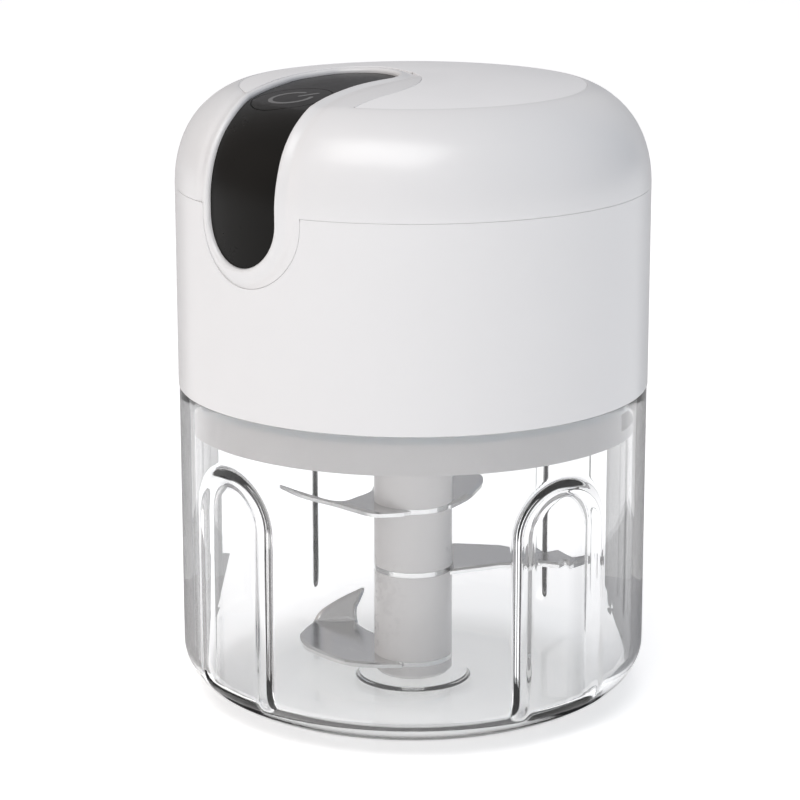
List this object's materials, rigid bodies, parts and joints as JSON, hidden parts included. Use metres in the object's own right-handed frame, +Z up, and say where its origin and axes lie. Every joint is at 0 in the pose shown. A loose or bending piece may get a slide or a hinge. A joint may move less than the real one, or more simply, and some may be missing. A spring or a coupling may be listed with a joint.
{
  "type": "food processor",
  "caption": "Cordless mini food processor: clear fluted cup, lift-out three-tier blade, and white motor head that turns to lock, with a black control strip.",
  "frame": {"origin": "centre of the cup's underside, on the surface it stands on", "axes": "+Z up along the drive axis; -Y is the side with the black control strip"},
  "size_m": [0.086, 0.086, 0.1152],
  "materials": {
    "clear_plastic": "clear polished plastic",
    "steel": "bright steel",
    "bush_plastic": "natural acetal",
    "hub_plastic": "satin light grey",
    "blade_steel": "polished stainless steel",
    "silicone": "translucent silicone",
    "grey_plastic": "satin light grey",
    "white_plastic": "pearl white gloss",
    "inlay_plastic": "satin off-white",
    "black_gloss": "smoked black gloss",
    "magnet": "dark ferrite",
    "black_plastic": "moulded black",
    "bronze": "sintered bronze",
    "carbon": "pressed carbon",
    "rubber": "moulded black rubber",
    "frame_plastic": "moulded grey",
    "cell_wrap": "heat-shrink sleeve",
    "board": "solder-masked laminate",
    "led": "diffuse",
    "laminations": "laminated steel",
    "copper": "enamelled copper wire",
    "plunger_plastic": "orange acetal"
  },
  "bodies": {
    "cup": {"cup": "clear_plastic", "centre_pin": "steel"},
    "bush": {"foot_bush": "bush_plastic"},
    "blade_set": {"blade_hub": "hub_plastic", "top_blade": "blade_steel", "middle_blade": "blade_steel", "lower_blade": "blade_steel"},
    "seal": {"seal_ring": "silicone"},
    "head": {"collar": "grey_plastic", "motor_housing": "white_plastic", "top_cover": "white_plastic", "top_inlay": "inlay_plastic", "control_panel": "black_gloss", "motor_mount": "steel", "motor_can": "steel", "motor_magnets": "magnet", "motor_end_cap": "black_plastic", "front_bearing": "bronze", "rear_bearing": "bronze", "carbon_brushes": "carbon", "lip_seal": "rubber", "inner_frame": "frame_plastic", "battery_cell_left": "cell_wrap", "battery_cell_right": "cell_wrap", "circuit_board": "board", "tact_switch": "black_plastic", "power_led": "led", "charging_board": "board", "usb_port": "steel", "interlock_switch": "black_plastic", "motor_screws": "steel", "mount_screws": "steel", "collar_screws": "steel", "cover_screws": "steel", "board_screws": "steel"},
    "rotor": {"motor_shaft": "steel", "armature": "laminations", "rotor_windings": "copper", "commutator": "bronze", "drive_coupling": "black_plastic"},
    "key": {"power_button": "black_gloss"},
    "plunger": {"interlock_plunger": "plunger_plastic"}
  },
  "joints": [
    {"name": "blade_lift", "type": "slide", "parent": "cup", "child": "bush", "axis": [0, 0, 1], "range_m": [0, 0.05]},
    {"name": "blade_spin", "type": "hinge", "parent": "bush", "child": "blade_set", "pos_m": [0, 0, 0.03], "axis": [0, 0, 1], "continuous": true},
    {"name": "head_lift", "type": "slide", "parent": "cup", "child": "seal", "axis": [0, 0, 1], "range_m": [0, 0.1]},
    {"name": "head_turn", "type": "hinge", "parent": "seal", "child": "head", "pos_m": [0, 0, 0.06], "axis": [0, 0, 1], "range_deg": [0, 20]},
    {"name": "motor_spin", "type": "hinge", "parent": "head", "child": "rotor", "pos_m": [0, 0, 0.08], "axis": [0, 0, 1], "continuous": true},
    {"name": "key_press", "type": "slide", "parent": "head", "child": "key", "axis": [0, 0, -1], "range_m": [0, 0.0005], "stiffness_N_per_m": 2500, "springref_m": -0.0002},
    {"name": "plunger_slide", "type": "slide", "parent": "head", "child": "plunger", "axis": [0, 0, 1], "range_m": [0, 0.0012]}
  ],
  "couplings": [
    {"joint": "blade_lift", "follows": "head_lift", "ratio": 0.5},
    {"joint": "blade_spin", "follows": "motor_spin", "ratio": 1},
    {"joint": "plunger_slide", "follows": "head_turn", "m_per_rad": 0.0034377}
  ]
}
